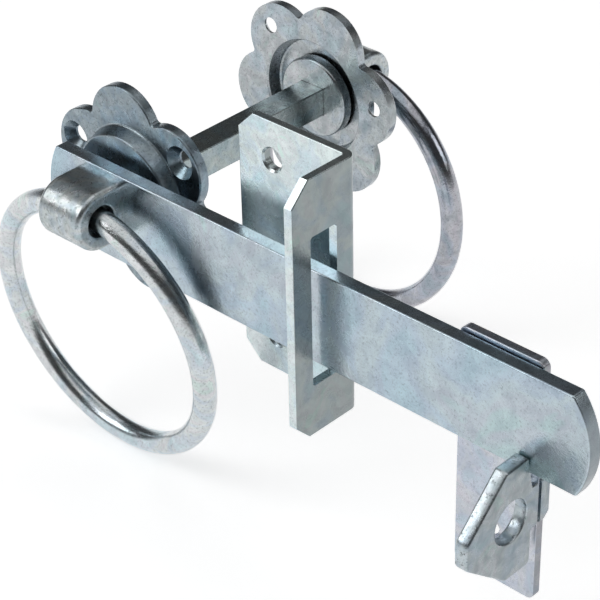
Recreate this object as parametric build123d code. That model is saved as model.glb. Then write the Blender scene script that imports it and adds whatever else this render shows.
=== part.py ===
from build123d import *
import os
from math import cos, radians

# Ring-handled gate latch in zinc-plated steel, in the places it has on a closed gate.
# Millimetres. The origin is on the spindle axis in the plane of the gate's front face.
# +X runs along the latch bar to the catch, +Y goes into the gate and +Z is up.

# The gate that the latch is set for, and the fits between its pieces
gate_thickness = 62.2          # back of the near rose to back of the far rose
fixed_gap = 0.05               # each side, pieces pressed or riveted together
turning_gap = 0.09             # each side, hub in rose
spindle_gap = 0.08             # each side, spindle in a hub's square bore
overcut = 3.0                  # cutters are this many times as long as what they go through

# Latch bar
bar_height = 25.0
bar_thickness = 4.0
bar_back = 9.2                 # in front of the gate's face
bar_middle = -1.5              # its mid height, from the spindle axis
bar_left = 16.5                # from the spindle to the left corners
bar_right = 143.4              # from the spindle to the top right corner
bar_left_bulge = 3.4           # how far the rounded left end stands out
bar_right_bulge = 4.1
bar_right_skew = 2.0           # the lower right corner stands this much further out
bar_corner = 0.8
bar_edge = 0.45

# Roses, pressed from sheet with six lobes and a dished middle
rose_radius = 28.0
rose_cusp_radius = 21.9        # at the notches between lobes
rose_sheet = 2.8
rose_cusp_round = 1.2
rose_edge = 0.5
lobe_count = 6
dish_height = 6.8              # front of the dish above the rose's back
dish_top_radius = 16.4
dish_foot_radius = 17.5
dish_wall_shift = 1.0          # inner radii of the dish are smaller by this
dish_bend = 0.7
rose_screw_circle = 22.3       # radius
rose_screw_bore = 4.4
rose_screw_rim = 8.8
rose_screw_count = 3
near_rose_turn = 39.8          # degrees, first screw hole above the level, seen from its front
far_rose_turn = 48.8

# Hubs, one turning in each rose
hub_disc_radius = 11.2
hub_disc_thickness = 3.0
hub_disc_inset = 0.1           # disc face below the rose's back
hub_disc_edge = 0.8
far_seat = 8.4                 # shoulder of the far hub behind the gate, carries the far boss
journal_radius = 7.8
tenon_side = 10.8              # square end that carries the bar and the ring boss
tenon_depth = 1.4              # how far the square goes into the boss

# Spindle
spindle_side = 8.0
spindle_edge = 0.35
spindle_near_end = 13.0        # in front of the gate's face
spindle_far_reach = 7.5        # beyond the back of the far rose

# Ring bosses, a block with a round nose, drilled along X for the ring
boss_radius = 7.8
boss_length = 15.0
boss_reach = 7.2               # seat to the ring hole's axis
boss_rise = 1.8                # ring hole above the spindle axis
boss_edge = 1.3
ring_hole_radius = 4.1
ring_hole_edge = 0.6

# Rings, hung loosely in the holes of the bosses
ring_outer_radius = 38.8
ring_rod_radius = 3.05
ring_lift = 0.45               # top of the hoop above the hole's axis
near_ring_offset = -0.45       # and away from the gate
far_ring_offset = 0.7
near_ring_lean = 6.4           # degrees, bottom towards the gate
far_ring_lean = 0.0

# Guide bracket, folded sheet screwed to the gate
bracket_face = 72.4            # outer face of the standing leg, from the spindle
bracket_sheet = 2.3
bracket_width = 35.2           # flange, from its free edge to the leg's outer face
bracket_depth = 21.6           # leg, from the gate's face
bracket_height = 68.8
bracket_middle = 2.0           # its middle height above the spindle axis
bracket_bend = 0.4             # inner radius
bracket_edge = 0.3             # along the bracket's front and outer edges
flange_cut = 4.8               # cut corners
leg_top_cut = 5.4
leg_low_cut = 4.5
slot_height = 40.2
slot_width = 8.6
slot_drop = 0.6                # middle of the slot below the bracket's middle
slot_middle = 11.45            # middle of the slot in front of the gate's face
slot_corner = 0.8
bracket_screw_edge = 10.7      # screw holes from the flange's free edge
bracket_screw_pitch = 48.8
bracket_screw_bore = 5.6
bracket_screw_rim = 6.6

# Catch plate, screwed to the post, and the hook riveted through it
plate_sheet = 2.2
plate_gap = 0.3                # between the bar's back and the plate
plate_overhang = 10.7          # the bar's top right corner beyond the plate
plate_width = 23.0
plate_height = 64.9
plate_top = 11.9               # above the spindle axis
plate_corner = 2.0
plate_edge = 0.3
plate_screw_left = 8.8         # screw holes from the plate's left edge
plate_screw_top = 8.6          # upper screw hole from the plate's top edge
plate_screw_pitch = 43.0
plate_screw_bore = 5.0
plate_screw_rim = 9.0
hook_thickness = 4.0
hook_inset = 0.5               # hook's face inside the plate's right edge
hook_bar_gap = 0.3             # in front of the bar, in the notch
hook_rest_gap = 0.05           # under the bar, in the notch
hook_notch_round = 0.3
hook_peak = 3.3                # peak above the notch's floor
hook_peak_flat = 7.4
hook_peak_round = 0.7
hook_reach = 23.1              # tip in front of the plate
hook_tip_top = 9.0             # below the notch's floor
hook_tip_height = 4.5
hook_tip_round = 1.5
hook_chin_round = 2.6
hook_foot_reach = 9.9          # where the lower slope ends, in front of the plate
hook_foot_drop = 27.4          # below the notch's floor
hook_foot_round = 1.6
hook_edge = 0.4
padlock_bore = 11.2
padlock_out = 8.7              # its axis in front of the plate
padlock_drop = 11.3            # its axis below the notch's floor
padlock_edge = 0.6
rivet_top = 6.4                # riveted tongue, below the notch's floor
rivet_height = 11.2
rivet_stand = 2.8              # behind the plate
rivet_cut = 1.6

# Places that follow
bar_front = bar_back + bar_thickness
bar_low = bar_middle - bar_height / 2
ring_radius = ring_outer_radius - ring_rod_radius
plate_right = bar_right - plate_overhang
plate_left = plate_right - plate_width
plate_front = bar_back - plate_gap
plate_back = plate_front - plate_sheet
notch_floor = bar_low - hook_rest_gap
hook_face = plate_right - hook_inset

# Frames whose local x, y and z are along the object, up, and out of the gate
near_side = Plane(origin=(0, 0, 0), x_dir=(1, 0, 0), z_dir=(0, -1, 0)).location
far_side = Plane(origin=(0, gate_thickness, 0), x_dir=(-1, 0, 0), z_dir=(0, 1, 0)).location


def countersunk_hole(x, y, front, bore, rim, sheet):
    """Screw hole through a sheet whose front face is at local z = front."""
    depth = (rim - bore) / 2
    shank = Pos(x, y, front) * Cylinder(bore / 2, overcut * sheet)
    sink = Pos(x, y, front - depth / 2) * Cone(bore / 2, rim / 2, depth)
    return shank + sink


def rose(turn):
    """Six-lobed rose, back face at z = 0, first screw hole at the angle turn."""
    notch_side = rose_cusp_radius * cos(radians(180 / lobe_count))
    lobe_centre = (rose_radius**2 - rose_cusp_radius**2) / (2 * (rose_radius - notch_side))
    lobe = Circle(rose_radius - lobe_centre)
    outline = Sketch() + Circle(lobe_centre) + [
        spot * lobe for spot in PolarLocations(lobe_centre, lobe_count, turn)]
    between = (rose_cusp_radius + rose_radius) / 2
    cusps = [v for v in outline.vertices() if v.center().length < between]
    blank = extrude(fillet(cusps, rose_cusp_round), rose_sheet)
    blank = fillet(blank.edges().group_by(Axis.Z)[-1], rose_edge)

    floor = dish_height - rose_sheet
    inner_foot = dish_foot_radius - dish_wall_shift
    inner_top = dish_top_radius - dish_wall_shift
    rim = rose_radius + rose_sheet
    section = FilletPolyline(
        (0, dish_height), (dish_top_radius, dish_height), (dish_foot_radius, rose_sheet),
        (rim, rose_sheet), (rim, 0), (inner_foot, 0), (inner_top, floor), (0, floor),
        radius=[0, dish_bend, dish_bend, 0, 0, dish_bend, dish_bend, 0], close=True)
    pressed = revolve(Plane.XZ * make_face(section), Axis.Z)
    body = pressed & (blank + extrude(Circle(dish_foot_radius + dish_bend), dish_height))

    body -= Cylinder(journal_radius + turning_gap, overcut * dish_height)
    for spot in PolarLocations(rose_screw_circle, rose_screw_count, turn):
        body -= spot * countersunk_hole(0, 0, rose_sheet, rose_screw_bore, rose_screw_rim, rose_sheet)
    return body


def hub(seat, tenon_top):
    """Disc behind the rose, round journal through it and a square end past the seat."""
    disc = Pos(0, 0, hub_disc_inset) * extrude(Circle(hub_disc_radius), hub_disc_thickness)
    disc = fillet(disc.edges().sort_by(Axis.Z)[0], hub_disc_edge)
    journal = extrude(Pos(0, 0, hub_disc_inset) * Circle(journal_radius), seat - hub_disc_inset)
    tenon = extrude(Pos(0, 0, seat) * Rectangle(tenon_side, tenon_side), tenon_top - seat)
    bore = spindle_side + 2 * spindle_gap
    return disc + journal + tenon - Box(bore, bore, overcut * tenon_top)


def boss(seat):
    """Block with a half-round nose, drilled along X, standing on local z = seat."""
    axis_height = seat + boss_reach
    low, high = boss_rise - boss_radius, boss_rise + boss_radius
    section = make_face([
        Line((high, axis_height), (high, seat)), Line((high, seat), (low, seat)),
        Line((low, seat), (low, axis_height)),
        ThreePointArc((low, axis_height), (boss_rise, axis_height + boss_radius), (high, axis_height))])
    body = extrude(Plane.YZ * section, boss_length / 2, both=True)
    left_end, *_, right_end = body.edges().group_by(Axis.X)
    body = fillet(left_end.sort_by(Axis.Z)[1:] + right_end.sort_by(Axis.Z)[1:], boss_edge)
    body -= Pos(0, boss_rise, axis_height) * Rot(0, 90, 0) * Cylinder(ring_hole_radius, overcut * boss_length)
    mouths = [body.edges().sort_by_distance((end * boss_length / 2, boss_rise, axis_height))[0]
              for end in (-1, 1)]
    body = fillet(mouths, ring_hole_edge)
    socket = tenon_side + 2 * fixed_gap
    return body - Pos(0, 0, seat) * Box(socket, socket, 2 * (tenon_depth + fixed_gap))


def ring(side, seat, offset, lean):
    """Round rod bent to a ring, hung in its boss with its bottom leaning towards +Y."""
    top = side * Pos(0, boss_rise + ring_lift, seat + boss_reach + offset)
    hoop = Rot(90, 0, 0) * Torus(ring_radius, ring_rod_radius)
    return Pos(top.position) * Rot(lean, 0, 0) * Pos(0, 0, -ring_radius) * hoop


def latch_bar():
    top = bar_low + bar_height
    top_left, low_left = (-bar_left, top), (-bar_left, bar_low)
    top_right, low_right = (bar_right, top), (bar_right + bar_right_skew, bar_low)
    left_tip = (-bar_left - bar_left_bulge, bar_middle)
    right_tip = (bar_right + bar_right_skew / 2 + bar_right_bulge, bar_middle)
    outline = make_face([
        Line(top_left, top_right), ThreePointArc(top_right, right_tip, low_right),
        Line(low_right, low_left), ThreePointArc(low_left, left_tip, top_left)])
    outline = fillet(outline.vertices(), bar_corner)
    body = extrude(Pos(0, 0, bar_back) * outline, bar_thickness)
    body = fillet(body.edges().filter_by(Axis.Z, reverse=True), bar_edge)
    square = tenon_side + 2 * fixed_gap
    return near_side * (body - Box(square, square, overcut * bar_front))


def spindle():
    length = spindle_near_end + gate_thickness + spindle_far_reach
    rod = Box(spindle_side, length, spindle_side, align=(Align.CENTER, Align.MIN, Align.CENTER))
    rod = fillet(rod.edges().filter_by(Axis.Y), spindle_edge)
    return Pos(0, -spindle_near_end, 0) * rod


def guide_bracket():
    free_edge = bracket_face - bracket_width
    leg_inside = bracket_face - bracket_sheet
    plan = make_face(FilletPolyline(
        (free_edge, 0), (bracket_face, 0), (bracket_face, -bracket_depth), (leg_inside, -bracket_depth),
        (leg_inside, -bracket_sheet), (free_edge, -bracket_sheet),
        radius=[0, bracket_bend + bracket_sheet, 0, 0, bracket_bend, 0], close=True))
    low = bracket_middle - bracket_height / 2
    body = extrude(Pos(0, 0, low) * plan, bracket_height)
    body = chamfer(body.edges().filter_by(Axis.Y).group_by(Axis.X)[0], flange_cut)
    tips = body.edges().filter_by(Axis.X).group_by(Axis.Y)[0].sort_by(Axis.Z)
    body = chamfer(tips[0], leg_low_cut)
    tips = body.edges().filter_by(Axis.X).group_by(Axis.Y)[0].sort_by(Axis.Z)
    body = chamfer(tips[-1], leg_top_cut)
    outer_face = body.faces().filter_by(Axis.X).sort_by(Axis.X)[-1]
    flange_face = body.faces().filter_by(Axis.Y).sort_by(Axis.Y)[-2]
    inner_bend = flange_face.edges().filter_by(Axis.Z).sort_by(Axis.X)[-1]
    outer_bend = outer_face.edges().filter_by(Axis.Z).sort_by(Axis.Y)[-1]
    edges = [e for face, bend in ((outer_face, outer_bend), (flange_face, inner_bend))
             for e in face.edges() if not e.is_same(bend)]
    body = fillet(edges, bracket_edge)

    slot = Box(overcut * bracket_sheet, slot_width, slot_height)
    slot = fillet(slot.edges().filter_by(Axis.X), slot_corner)
    body -= Pos(leg_inside, -slot_middle, bracket_middle - slot_drop) * slot
    for step in (-1, 1):
        height = bracket_middle + step * bracket_screw_pitch / 2
        body -= near_side * countersunk_hole(
            free_edge + bracket_screw_edge, height, bracket_sheet,
            bracket_screw_bore, bracket_screw_rim, bracket_sheet)
    return body


def catch_hook():
    """Hook with a ramp and a notch for the bar; its tongue goes through the plate."""
    side_view = Plane(origin=(hook_face, 0, 0), x_dir=(0, -1, 0), z_dir=(-1, 0, 0))
    notch_front = bar_front + hook_bar_gap
    peak = notch_floor + hook_peak
    tip = plate_front + hook_reach
    tip_top = notch_floor - hook_tip_top
    foot = notch_floor - hook_foot_drop
    outline = FilletPolyline(
        (plate_front, notch_floor), (notch_front, notch_floor), (notch_front, peak),
        (notch_front + hook_peak_flat, peak), (tip, tip_top), (tip, tip_top - hook_tip_height),
        (plate_front + hook_foot_reach, foot), (plate_front, foot),
        radius=[0, hook_notch_round, hook_peak_round, hook_peak_round, hook_tip_round,
                hook_chin_round, hook_foot_round, 0], close=True)
    body = extrude(side_view * make_face(outline), hook_thickness)
    inner, *_, outer = body.edges().group_by(Axis.X)
    body = fillet(inner.sort_by(Axis.Y)[:-1] + outer.sort_by(Axis.Y)[:-1], hook_edge)

    eye_centre = side_view.location * Pos(plate_front + padlock_out, notch_floor - padlock_drop, 0)
    body -= eye_centre * Cylinder(padlock_bore / 2, overcut * hook_thickness)
    eye = [body.edges().sort_by_distance((side, eye_centre.position.Y, eye_centre.position.Z))[0]
           for side in (hook_face - hook_thickness, hook_face)]
    body = fillet(eye, padlock_edge)

    tongue_top = notch_floor - rivet_top
    tongue_low = tongue_top - rivet_height
    tongue_end = plate_back - rivet_stand
    tongue = make_face(Polyline(
        (plate_front, tongue_top), (plate_front, tongue_low), (tongue_end + rivet_cut, tongue_low),
        (tongue_end, tongue_low + rivet_cut), (tongue_end, tongue_top - rivet_cut),
        (tongue_end + rivet_cut, tongue_top), close=True))
    return body + extrude(side_view * tongue, hook_thickness)


def catch_plate():
    middle = Pos(plate_left + plate_width / 2, plate_top - plate_height / 2, plate_back)
    outline = RectangleRounded(plate_width, plate_height, plate_corner)
    body = extrude(middle * outline, plate_sheet)
    body = fillet(body.edges().group_by(Axis.Z)[-1], plate_edge)
    upper = plate_top - plate_screw_top
    for height in (upper, upper - plate_screw_pitch):
        body -= countersunk_hole(plate_left + plate_screw_left, height, plate_front,
                                 plate_screw_bore, plate_screw_rim, plate_sheet)
    mortise = Box(hook_thickness + 2 * fixed_gap, rivet_height + 2 * fixed_gap, overcut * plate_sheet)
    mortise_middle = notch_floor - rivet_top - rivet_height / 2
    body -= Pos(hook_face - hook_thickness / 2, mortise_middle, plate_back) * mortise
    return near_side * body


parts = {
    "near_rose": near_side * rose(near_rose_turn),
    "far_rose": far_side * rose(far_rose_turn),
    "near_hub": near_side * hub(bar_back, bar_front + tenon_depth),
    "far_hub": far_side * hub(far_seat, far_seat + tenon_depth),
    "near_boss": near_side * boss(bar_front),
    "far_boss": far_side * boss(far_seat),
    "near_ring": ring(near_side, bar_front, near_ring_offset, near_ring_lean),
    "far_ring": ring(far_side, far_seat, far_ring_offset, far_ring_lean),
    "latch_bar": latch_bar(),
    "spindle": spindle(),
    "guide_bracket": guide_bracket(),
    "catch_plate": catch_plate(),
    "catch_hook": catch_hook(),
}

os.makedirs("parts", exist_ok=True)
for name, piece in parts.items():
    export_step(piece, f"parts/{name}.step")
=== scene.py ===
from math import cos, pi, radians, sin, tan

import bmesh
import bpy
from mathutils import Matrix, Vector


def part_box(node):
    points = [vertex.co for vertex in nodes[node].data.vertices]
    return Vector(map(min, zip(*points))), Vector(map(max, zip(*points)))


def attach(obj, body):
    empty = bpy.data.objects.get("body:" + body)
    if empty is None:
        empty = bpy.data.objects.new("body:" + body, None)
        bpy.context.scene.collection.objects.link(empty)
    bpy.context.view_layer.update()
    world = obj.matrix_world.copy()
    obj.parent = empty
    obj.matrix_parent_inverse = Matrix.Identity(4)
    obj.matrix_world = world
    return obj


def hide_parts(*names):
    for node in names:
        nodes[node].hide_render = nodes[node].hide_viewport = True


# Zinc-plated ring gate latch on a pale studio floor, seen as in the photograph.
# Metres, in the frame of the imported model: +X to the catch, +Y into the gate, +Z up.
# Colours and levels are linear.

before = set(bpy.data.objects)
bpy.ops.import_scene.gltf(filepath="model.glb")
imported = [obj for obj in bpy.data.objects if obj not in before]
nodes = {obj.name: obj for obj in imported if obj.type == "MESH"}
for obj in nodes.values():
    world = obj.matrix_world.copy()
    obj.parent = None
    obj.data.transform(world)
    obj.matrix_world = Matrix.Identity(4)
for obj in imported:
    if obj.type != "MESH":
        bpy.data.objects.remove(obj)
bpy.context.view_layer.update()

# Camera, fitted to the photograph
TARGET = (0.05365, 0.0, -0.01066)     # what the camera and the lamps point at
CAMERA_AZIMUTH = 43.88                # degrees from -Y towards +X
CAMERA_ELEVATION = 33.22
CAMERA_ROLL = -1.31
CAMERA_DISTANCE = 0.51594
CAMERA_CLIP = (0.01, 20.0)
FOCAL_PIXELS = 2166.9
IMAGE_SIDE = 600                      # pixels, square picture
SENSOR = 36.0                         # mm

# Zinc plating: noise settings, and the noise levels between which each look changes; also where the
# painted shade on faces towards +X begins
CLOUDS = {"Detail": 7.0, "Roughness": 0.62, "Distortion": 0.5}
HUES = {"Detail": 3.0, "Distortion": 1.2}
SPECKS = {"Detail": 3.0, "Roughness": 0.7}
DULL_TO_PALE = (0.34, 0.66)
ROUGH_TO_SMOOTH = (0.3, 0.7)
SPECKED_TO_CLEAR = (0.34, 0.46)
TINT_PLACES = (0.34, 0.45, 0.53, 0.62, 0.70)
BLUE = (0.86, 0.95, 1.0, 1.0)
VIOLET = (0.92, 0.93, 1.0, 1.0)
ROSE = (1.0, 0.945, 0.97, 1.0)
GREEN = (0.93, 1.0, 0.965, 1.0)
SHADED_SIDE_FACING = (0.6, 0.9)              # X of the normal, from where a face starts to be a side with painted shade
WAVE_DEPTH = 0.00007                  # soft unevenness of the surface
GRAIN_DEPTH = 0.00003

# Catch hook, a flat piece whose neck fills a notch in the plate's right edge. In its own profile,
# OUT is the distance in front of the gate, UP, TOP and LOW are heights, and ROUND a corner radius.
HOOK_THICKNESS = 0.0037
HOOK_PROUD = 0.0007                   # its face beyond the plate's right edge
HOOK_CLEARANCE = 0.0003               # between bar and peak
HOOK_PEAK_UP = -0.0097
HOOK_PEAK_FLAT = 0.0074               # length of the level peak
HOOK_PEAK_ROUND = 0.0010              # from peak to ramp
HOOK_TIP_OUT = 0.0338
HOOK_TIP_UP = -0.0222                 # lower end of the ramp
HOOK_TIP_UP_ROUND = 0.0024
HOOK_TIP_LOW = -0.0286
HOOK_TIP_LOW_ROUND = 0.0022
HOOK_FOOT_OUT = 0.0204                # front end of the lowest edge
HOOK_FOOT_UP = -0.0397
HOOK_FOOT_ROUND = 0.0018
HOOK_REAR_OUT = 0.0117                # rear edge, and the foot of the notch's wall
HOOK_REAR_ROUND = 0.0016
HOOK_EDGE = 0.0006
HOOK_EDGE_STEPS = 3
HOOK_EDGE_ANGLE = 50.0                # degrees; flatter edges aren't rounded
NECK_TOP = -0.0186                    # floor of the notch for the bar
NECK_LOW = -0.0302
NECK_ROUND = 0.0008                   # from neck to rear edge
NECK_STAND = 0.0014                   # how far it ends behind the plate
NECK_CUT = 0.0018                     # cut corner at its lower end
EYE_OUT = 0.0189
EYE_UP = -0.0240
EYE_RADIUS = 0.00545
EYE_SIDES = 60
GROOVE_FRONT = 0.0009                 # groove across the neck's root, in front of the plate's face
GROOVE_BACK = 0.0002                  # and behind it
GROOVE_DEPTH = 0.0009
MORTISE = ((0.12815, -0.0317), (0.13225, -0.0204))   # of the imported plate, x and z of two corners
ARC_STEPS = 5                         # in a rounded corner
SHARP_ANGLE = 40.0                    # degrees, above which an edge isn't shaded smooth

# Studio. The sky's stops are (height of the direction, level), from the horizon to the top.
SKY = ((0.0, 1.0), (0.05, 0.80), (0.16, 0.08), (0.72, 0.05), (0.84, 0.9), (1.0, 0.9))
LAMPS = {                             # azimuth and elevation in degrees, distance, side, radiance
    "key": (-43.0, 34.0, 1.1, 0.60, 2.6),
    "right": (118.0, 30.0, 1.4, 0.6, 1.6),
}
FLOOR_HALF = 4.0
FLOOR_GAP = 0.0005                    # under the lowest piece
FLOOR_LEVEL = 0.93
FLOOR_GLOW = 0.53


def place(name, data):
    thing = bpy.data.objects.new(name, data)
    bpy.context.scene.collection.objects.link(thing)
    return thing


def direction(azimuth, elevation):
    """Unit vector from the target, with azimuth in degrees from -Y towards +X."""
    a, e = radians(azimuth), radians(elevation)
    return Vector((sin(a) * cos(e), -cos(a) * cos(e), sin(e)))


def node_tree(owner):
    owner.use_nodes = True
    tree = owner.node_tree
    tree.nodes.clear()
    return tree


def add(tree, kind, inputs=None, **settings):
    """New node with its settings; inputs are values, or sockets to link from."""
    node = tree.nodes.new(kind)
    for key, value in settings.items():
        setattr(node, key, value)
    for key, value in (inputs or {}).items():
        socket = node.inputs[key]
        if isinstance(value, bpy.types.NodeSocket):
            tree.links.new(value, socket)
        else:
            socket.default_value = value
    return node


def grey(level):
    return (level, level, level, 1.0)


def ramp(tree, source, stops):
    """Colour ramp over source; stops are (place, colour) pairs."""
    node = add(tree, "ShaderNodeValToRGB", {0: source})
    first, last = node.color_ramp.elements
    first.position, first.color = stops[0]
    last.position, last.color = stops[-1]
    for position, colour in stops[1:-1]:
        node.color_ramp.elements.new(position).color = colour
    return node.outputs["Color"]


def step(tree, source, places, low, high):
    """Grey that goes from low to high between two places of the source."""
    return ramp(tree, source, [(places[0], grey(low)), (places[1], grey(high))])


def mix(tree, amount, low, high, blend="MIX"):
    """Mix of two colours; the Mix node's inputs 6 and 7 and its output 2 are the colour ones."""
    return add(tree, "ShaderNodeMix", {0: amount, 6: low, 7: high},
               data_type="RGBA", blend_type=blend).outputs[2]


def noise(tree, position, scale, look):
    return add(tree, "ShaderNodeTexNoise", {"Vector": position, "Scale": scale, **look}).outputs["Fac"]


def relief(tree, clouds, specks):
    """Soft waves with the clouds, and fine grain with the specks."""
    wave = add(tree, "ShaderNodeBump", {"Height": clouds, "Strength": 1.0, "Distance": WAVE_DEPTH})
    return add(tree, "ShaderNodeBump", {
        "Height": specks, "Strength": 1.0, "Distance": GRAIN_DEPTH, "Normal": wave.outputs[0]})


def zinc(name, pale, dull, cloud, roughness, grain, speck, sides=None, hue_share=0.4):
    """Bright zinc plate: clouded colour with faint blue, rose and green tints, specks and fine grain.

    cloud and grain are per metre, roughness is where pale and where dull, and speck is how dark
    the specks are. The tints' noise has the clouds' scale times hue_share. Where sides is given,
    faces towards +X have no specks and are darkened as painted shade, and sides is how pale they
    are beside the others.
    """
    material = bpy.data.materials.new(name)
    tree = node_tree(material)
    coordinates = add(tree, "ShaderNodeTexCoord").outputs
    clouds = noise(tree, coordinates["Object"], cloud, CLOUDS)
    hues = noise(tree, coordinates["Object"], cloud * hue_share, HUES)
    specks = noise(tree, coordinates["Object"], grain, SPECKS)

    colour = mix(tree, step(tree, clouds, DULL_TO_PALE, 0.0, 1.0), dull, pale)
    tint = ramp(tree, hues, list(zip(TINT_PLACES, (BLUE, VIOLET, grey(1.0), ROSE, GREEN))))
    colour = mix(tree, 1.0, colour, tint, "MULTIPLY")
    specks_and_side_shade = step(tree, specks, SPECKED_TO_CLEAR, 1.0 - speck, 1.0)
    # painted shade: faces towards +X get the grey level sides in place of the specks
    if sides is not None:
        facing = add(tree, "ShaderNodeSeparateXYZ", {0: coordinates["Normal"]}).outputs["X"]
        specks_and_side_shade = mix(tree, step(tree, facing, SHADED_SIDE_FACING, 0.0, 1.0), specks_and_side_shade, grey(sides))
    colour = mix(tree, 1.0, colour, specks_and_side_shade, "MULTIPLY")

    where_pale, where_dull = roughness
    rough = add(tree, "ShaderNodeMapRange", {
        "Value": clouds, "From Min": ROUGH_TO_SMOOTH[0], "From Max": ROUGH_TO_SMOOTH[1],
        "To Min": where_dull, "To Max": where_pale})
    shader = add(tree, "ShaderNodeBsdfPrincipled", {
        "Base Color": colour, "Metallic": 1.0, "Roughness": rough.outputs[0],
        "Normal": relief(tree, clouds, specks).outputs[0]})
    add(tree, "ShaderNodeOutputMaterial", {"Surface": shader.outputs[0]})
    return material


# Each sides= value below darkens that piece's faces towards +X: painted shade.
FINISHES = {
    "bar": zinc("zinc on bar", (0.495, 0.585, 0.62, 1), (0.40, 0.47, 0.515, 1),
                190.0, (0.20, 0.32), 1500.0, 0.25, sides=0.52, hue_share=0.25),
    "spindle": zinc("zinc on spindle", (0.42, 0.48, 0.47, 1), (0.30, 0.36, 0.36, 1),
                    260.0, (0.20, 0.32), 1500.0, 0.3),
    "bracket": zinc("zinc on bracket", (0.68, 0.77, 0.765, 1), (0.56, 0.645, 0.65, 1),
                    220.0, (0.20, 0.32), 1500.0, 0.2, sides=0.45),
    # The near rose is the same zinc as the far rose, painted darker: painted shade.
    "near rose with painted shade": zinc("zinc on near rose with painted shade", (0.30, 0.365, 0.395, 1), (0.21, 0.255, 0.28, 1),
                      330.0, (0.22, 0.36), 1300.0, 0.4),
    "far rose": zinc("zinc on far rose", (0.49, 0.53, 0.54, 1), (0.33, 0.37, 0.38, 1),
                     260.0, (0.20, 0.34), 1300.0, 0.35),
    "casting": zinc("zinc on casting", (0.56, 0.60, 0.60, 1), (0.36, 0.41, 0.41, 1),
                    420.0, (0.24, 0.38), 1200.0, 0.45),
    "ring": zinc("zinc on rod", (0.68, 0.72, 0.72, 1), (0.52, 0.57, 0.58, 1),
                 260.0, (0.15, 0.27), 1800.0, 0.35),
    # The far ring is the same zinc as the near ring, painted darker: painted shade.
    "far ring with painted shade": zinc("zinc on far rod with painted shade", (0.50, 0.51, 0.54, 1), (0.32, 0.34, 0.37, 1),
                     260.0, (0.10, 0.20), 1800.0, 0.35),
    "plate": zinc("zinc on plate", (0.58, 0.60, 0.64, 1), (0.47, 0.51, 0.55, 1),
                  260.0, (0.22, 0.34), 1400.0, 0.2, sides=0.55),
    "hook": zinc("zinc on hook", (0.52, 0.58, 0.60, 1), (0.36, 0.42, 0.44, 1),
                 300.0, (0.22, 0.38), 900.0, 0.6, sides=0.70),
}
WORN_BY = {
    "latch_bar": "bar", "spindle": "spindle", "guide_bracket": "bracket",
    "near_rose": "near rose with painted shade", "far_rose": "far rose",
    "near_hub": "casting", "far_hub": "far rose", "near_boss": "casting", "far_boss": "casting",
    "near_ring": "ring", "far_ring": "far ring with painted shade", "catch_plate": "plate", "catch_hook": "hook",
}


def plate_the_nodes():
    for name, node in nodes.items():
        node.data.materials.clear()
        node.data.materials.append(FINISHES[WORN_BY[name]])


def rounded(corners):
    """Outline through the corners (out, up, radius), each rounded by a tangent arc."""
    points = []
    for i, (out, up, radius) in enumerate(corners):
        here = Vector((out, up))
        if not radius:
            points.append(here)
            continue
        before = (Vector(corners[i - 1][:2]) - here).normalized()
        after = (Vector(corners[(i + 1) % len(corners)][:2]) - here).normalized()
        half = before.angle(after) / 2
        centre = here + (before + after).normalized() * radius / sin(half)
        start = here + before * radius / tan(half) - centre
        end = here + after * radius / tan(half) - centre
        turn = start.angle_signed(end)
        for part in range(ARC_STEPS + 1):
            a = -turn * part / ARC_STEPS
            spoke = (start.x * cos(a) - start.y * sin(a), start.x * sin(a) + start.y * cos(a))
            points.append(centre + Vector(spoke))
    return points


def prism(name, outline, left, right):
    """Solid between two places along X, with an outline given as (out, up)."""
    mesh = bmesh.new()
    loops = [[mesh.verts.new((x, -p[0], p[1])) for p in outline] for x in (left, right)]
    mesh.faces.new(loops[0])
    mesh.faces.new(reversed(loops[1]))
    for i, vert in enumerate(loops[0]):
        mesh.faces.new((vert, loops[1][i], loops[1][i - 1], loops[0][i - 1]))
    bmesh.ops.recalc_face_normals(mesh, faces=mesh.faces)
    data = bpy.data.meshes.new(name)
    mesh.to_mesh(data)
    mesh.free()
    return place(name, data)


def cut(thing, tool):
    modifier = thing.modifiers.new(tool.name, "BOOLEAN")
    modifier.operation, modifier.solver, modifier.object = "DIFFERENCE", "EXACT", tool


def round_edges(thing):
    bevel = thing.modifiers.new("edges", "BEVEL")
    bevel.width, bevel.segments, bevel.use_clamp_overlap = HOOK_EDGE, HOOK_EDGE_STEPS, False
    bevel.limit_method, bevel.angle_limit = "ANGLE", radians(HOOK_EDGE_ANGLE)


def bake(thing):
    """The piece's modifiers become its own mesh, smooth but for its sharp edges."""
    evaluated = thing.evaluated_get(bpy.context.evaluated_depsgraph_get())
    thing.data = bpy.data.meshes.new_from_object(evaluated)
    thing.modifiers.clear()
    thing.data.shade_smooth()
    thing.data.set_sharp_from_angle(angle=radians(SHARP_ANGLE))


def hook_profile(end_out):
    """The hook's outline from the neck's upper end, over the peak and down to the neck's lower end."""
    peak_out = -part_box("latch_bar")[0].y + HOOK_CLEARANCE
    return rounded([
        (end_out, NECK_TOP, 0.0), (HOOK_REAR_OUT, NECK_TOP, 0.0),
        (peak_out, HOOK_PEAK_UP, 0.0), (peak_out + HOOK_PEAK_FLAT, HOOK_PEAK_UP, HOOK_PEAK_ROUND),
        (HOOK_TIP_OUT, HOOK_TIP_UP, HOOK_TIP_UP_ROUND), (HOOK_TIP_OUT, HOOK_TIP_LOW, HOOK_TIP_LOW_ROUND),
        (HOOK_FOOT_OUT, HOOK_FOOT_UP, HOOK_FOOT_ROUND), (HOOK_REAR_OUT, HOOK_FOOT_UP, HOOK_REAR_ROUND),
        (HOOK_REAR_OUT, NECK_LOW, NECK_ROUND), (end_out + NECK_CUT, NECK_LOW, 0.0),
        (end_out, NECK_LOW + NECK_CUT, 0.0)])


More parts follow.
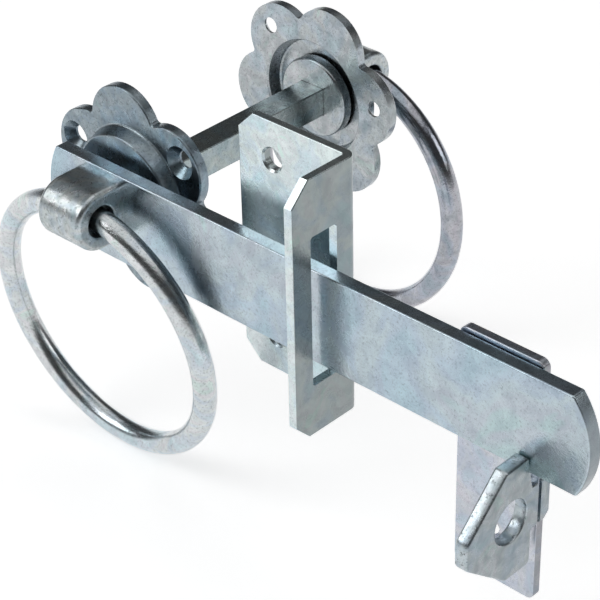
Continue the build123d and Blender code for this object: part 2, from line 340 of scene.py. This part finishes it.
def catch_hook(plate_out, back_out):
    """Hook with padlock eye and rounded edges; the tools that cut it run past it on every side."""
    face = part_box("catch_plate")[1].x + HOOK_PROUD
    hook = prism("hook", hook_profile(back_out - NECK_STAND), face - HOOK_THICKNESS, face)
    around = [(EYE_OUT + EYE_RADIUS * cos(radians(a)), EYE_UP + EYE_RADIUS * sin(radians(a)))
              for a in range(0, 360, 360 // EYE_SIDES)]
    eye = prism("eye", around, face - 2 * HOOK_THICKNESS, face + HOOK_THICKNESS)
    front, back = plate_out + GROOVE_FRONT, plate_out - GROOVE_BACK
    across = [(front, 2 * NECK_LOW), (back, 2 * NECK_LOW), (back, 0.0), (front, 0.0)]
    groove = prism("groove", across, face - GROOVE_DEPTH, face + HOOK_THICKNESS)
    cut(hook, eye)
    round_edges(hook)
    cut(hook, groove)
    bake(hook)
    bpy.data.objects.remove(eye)
    bpy.data.objects.remove(groove)
    return hook


def hook_root(plate_out, back_out):
    """The neck's root in the plate, flush with it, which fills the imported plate's mortise."""
    (left, low), (right, high) = MORTISE
    outline = [(back_out, low), (plate_out, low), (plate_out, high), (back_out, high)]
    return prism("hook_root", outline, left, right)


def catch():
    plate_low, plate_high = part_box("catch_plate")
    sides = (-plate_low.y, -plate_high.y)
    for piece, finish in ((catch_hook(*sides), "hook"), (hook_root(*sides), "plate")):
        piece.data.materials.append(FINISHES[finish])
        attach(piece, "fixings")
        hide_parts("catch_hook")


def studio_world():
    """What the metal reflects: white at the horizon, a dark band above it and a pale ceiling.

    The band is what level faces show. The camera itself sees white.
    """
    world = bpy.data.worlds.new("studio")
    bpy.context.scene.world = world
    tree = node_tree(world)
    outward = add(tree, "ShaderNodeTexCoord").outputs["Generated"]
    height = add(tree, "ShaderNodeSeparateXYZ", {0: outward}).outputs["Z"]
    room = ramp(tree, height, [(at, grey(level)) for at, level in SKY])
    path = add(tree, "ShaderNodeLightPath")
    colour = mix(tree, path.outputs["Is Camera Ray"], room, grey(1.0))
    background = add(tree, "ShaderNodeBackground", {"Color": colour, "Strength": 1.0})
    add(tree, "ShaderNodeOutputWorld", {"Surface": background.outputs[0]})


def seen_directly(tree):
    """1 for camera, glossy and transmission rays, and 0 for those that only carry light."""
    path = add(tree, "ShaderNodeLightPath")
    seen = path.outputs["Is Camera Ray"]
    for kind in ("Is Glossy Ray", "Is Transmission Ray"):
        seen = add(tree, "ShaderNodeMath", {0: seen, 1: path.outputs[kind]},
                   operation="MAXIMUM").outputs[0]
    return seen


def floor_paint():
    """Matt white that keeps the shadow, and glows so that it looks white where it is lit."""
    material = bpy.data.materials.new("pale floor")
    tree = node_tree(material)
    matt = add(tree, "ShaderNodeBsdfDiffuse", {"Color": grey(FLOOR_LEVEL)})
    strength = add(tree, "ShaderNodeMath", {0: seen_directly(tree), 1: FLOOR_GLOW},
                   operation="MULTIPLY")
    glow = add(tree, "ShaderNodeEmission", {"Color": grey(1.0), "Strength": strength.outputs[0]})
    both = add(tree, "ShaderNodeAddShader", {0: matt.outputs[0], 1: glow.outputs[0]})
    add(tree, "ShaderNodeOutputMaterial", {"Surface": both.outputs[0]})
    return material


def pale_floor():
    lowest = min(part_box(name)[0].z for name in nodes)
    mesh = bpy.data.meshes.new("floor")
    corners = [(-FLOOR_HALF, -FLOOR_HALF, 0), (FLOOR_HALF, -FLOOR_HALF, 0),
               (FLOOR_HALF, FLOOR_HALF, 0), (-FLOOR_HALF, FLOOR_HALF, 0)]
    mesh.from_pydata(corners, [], [(0, 1, 2, 3)])
    mesh.materials.append(floor_paint())
    floor = place("floor", mesh)
    floor.location.z = lowest - FLOOR_GAP


def softbox(name, azimuth, elevation, distance, size, radiance):
    """Square area light that faces the latch, of an even brightness when seen."""
    towards = direction(azimuth, elevation)
    light = bpy.data.lights.new(name, "AREA")
    light.shape = "SQUARE"
    light.size = size
    light.energy = radiance * size * size * pi
    lamp = place(name, light)
    lamp.location = Vector(TARGET) + towards * distance
    lamp.rotation_euler = towards.to_track_quat("Z", "Y").to_euler()


def photo_camera():
    back, roll = direction(CAMERA_AZIMUTH, CAMERA_ELEVATION), radians(CAMERA_ROLL)
    right = (-back).cross(Vector((0, 0, 1))).normalized()
    up = right.cross(-back)
    turned_right = right * cos(roll) + up * sin(roll)
    turned_up = up * cos(roll) - right * sin(roll)
    data = bpy.data.cameras.new("camera")
    data.sensor_width = SENSOR
    data.lens = FOCAL_PIXELS / IMAGE_SIDE * SENSOR
    data.clip_start, data.clip_end = CAMERA_CLIP
    camera = place("camera", data)
    axes = Matrix((turned_right, turned_up, back)).transposed().to_4x4()
    camera.matrix_world = Matrix.Translation(Vector(TARGET) + back * CAMERA_DISTANCE) @ axes
    bpy.context.scene.camera = camera


plate_the_nodes()
catch()
studio_world()
pale_floor()
for lamp_name, settings in LAMPS.items():
    softbox(lamp_name, *settings)
photo_camera()
bpy.context.scene.view_settings.view_transform = "Standard"
